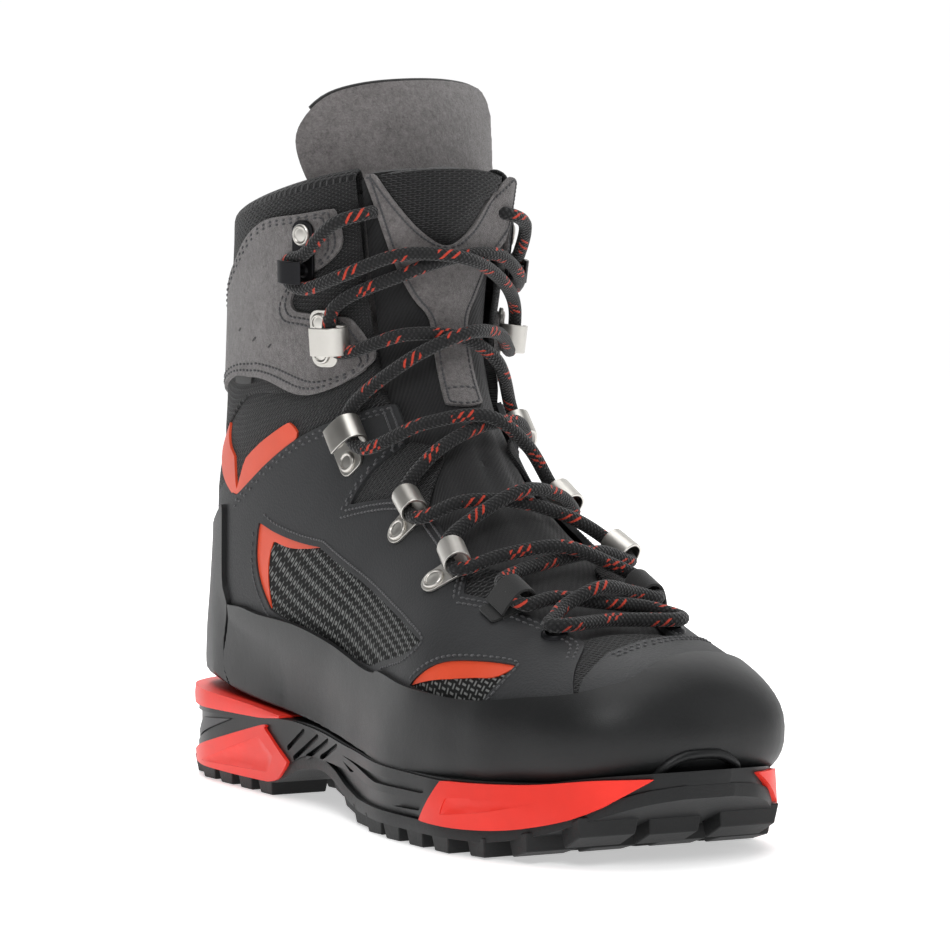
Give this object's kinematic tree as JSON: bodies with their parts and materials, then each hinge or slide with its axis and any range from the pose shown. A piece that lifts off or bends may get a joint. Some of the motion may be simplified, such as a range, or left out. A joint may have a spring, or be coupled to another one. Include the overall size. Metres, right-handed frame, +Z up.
{
  "type": "mountaineering boot",
  "caption": "Right mountaineering boot: laced padded shaft on a rubber-randed foot, lugged sole with a heel ledge for a crampon, tall inner tongue.",
  "frame": {"origin": "on the ground under the middle of the boot's box", "axes": "+Z up, toe towards -Y, heel towards +Y, outer (lateral) side of this right boot towards -X"},
  "size_m": [0.1096, 0.3116, 0.2466],
  "materials": {
    "rubber": "satin moulded rubber",
    "sole_frame": "satin black moulded polyurethane",
    "red_trim": "satin orange-red polyurethane and film",
    "footbed": "brushed fabric over foam",
    "leather": "matte black-grey coated microfibre",
    "suede": "grey napped suede",
    "mesh": "black padded spacer mesh",
    "weave": "grey-green and black abrasion-proof weave",
    "lining": "black brushed lining",
    "board": "fibre board",
    "steel": "satin nickel",
    "black_metal": "black coated metal",
    "lace": "black round braid with red flecks"
  },
  "bodies": {
    "foot": {"outsole": "rubber", "rand_lateral": "rubber", "rand_medial": "rubber", "toe_rand": "rubber", "heel_rand": "rubber", "sole_frame": "sole_frame", "heel_welt": "red_trim", "forefoot_insert_lateral": "red_trim", "forefoot_insert_medial": "red_trim", "heel_insert_lateral": "red_trim", "heel_insert_medial": "red_trim", "ankle_accent_lateral": "red_trim", "ankle_accent_medial": "red_trim", "footbed": "footbed", "vamp": "leather", "quarter_lateral": "leather", "quarter_medial": "leather", "tongue_overlay": "suede", "ankle_band": "mesh", "tongue": "mesh", "loop_2_lateral": "mesh", "loop_2_medial": "mesh", "side_window_lateral": "weave", "side_window_medial": "weave", "forefoot_window_lateral": "weave", "forefoot_window_medial": "weave", "toe_lining": "lining", "foot_lining": "lining", "insole_board": "board", "toe_puff": "board", "heel_counter": "board", "shank": "steel", "pulley_3_lateral": "steel", "pulley_3_medial": "steel", "pulley_4_lateral": "steel", "pulley_4_medial": "steel", "saddle_5_lateral": "steel", "saddle_5_medial": "steel", "eyelet_1_lateral": "black_metal", "eyelet_1_medial": "black_metal", "lace": "lace"},
    "shaft": {"shaft_shell": "mesh", "shaft_lining": "lining", "cuff_lateral": "suede", "cuff_medial": "suede", "saddle_6_lateral": "steel", "saddle_6_medial": "steel", "hook_7_lateral": "black_metal", "hook_7_medial": "black_metal", "tongue_pad": "mesh", "aglet_lateral": "black_metal", "aglet_medial": "black_metal"},
    "inner_tongue": {"inner_tongue": "suede", "inner_tongue_binding": "mesh"}
  },
  "joints": [
    {"name": "ankle_flex", "type": "hinge", "parent": "foot", "child": "shaft", "pos_m": [-0.00116, 0.04825, 0.108], "axis": [1, 0, 0], "range_deg": [-4, 9], "stiffness_Nm_per_rad": 40, "deforming": ["ankle_band", "tongue", "tongue_overlay", "lace"]},
    {"name": "inner_tongue_tilt", "type": "hinge", "parent": "shaft", "child": "inner_tongue", "pos_m": [-0.00116, 0.02025, 0.142], "axis": [1, 0, 0], "range_deg": [-15, 0], "stiffness_Nm_per_rad": 0.4}
  ]
}
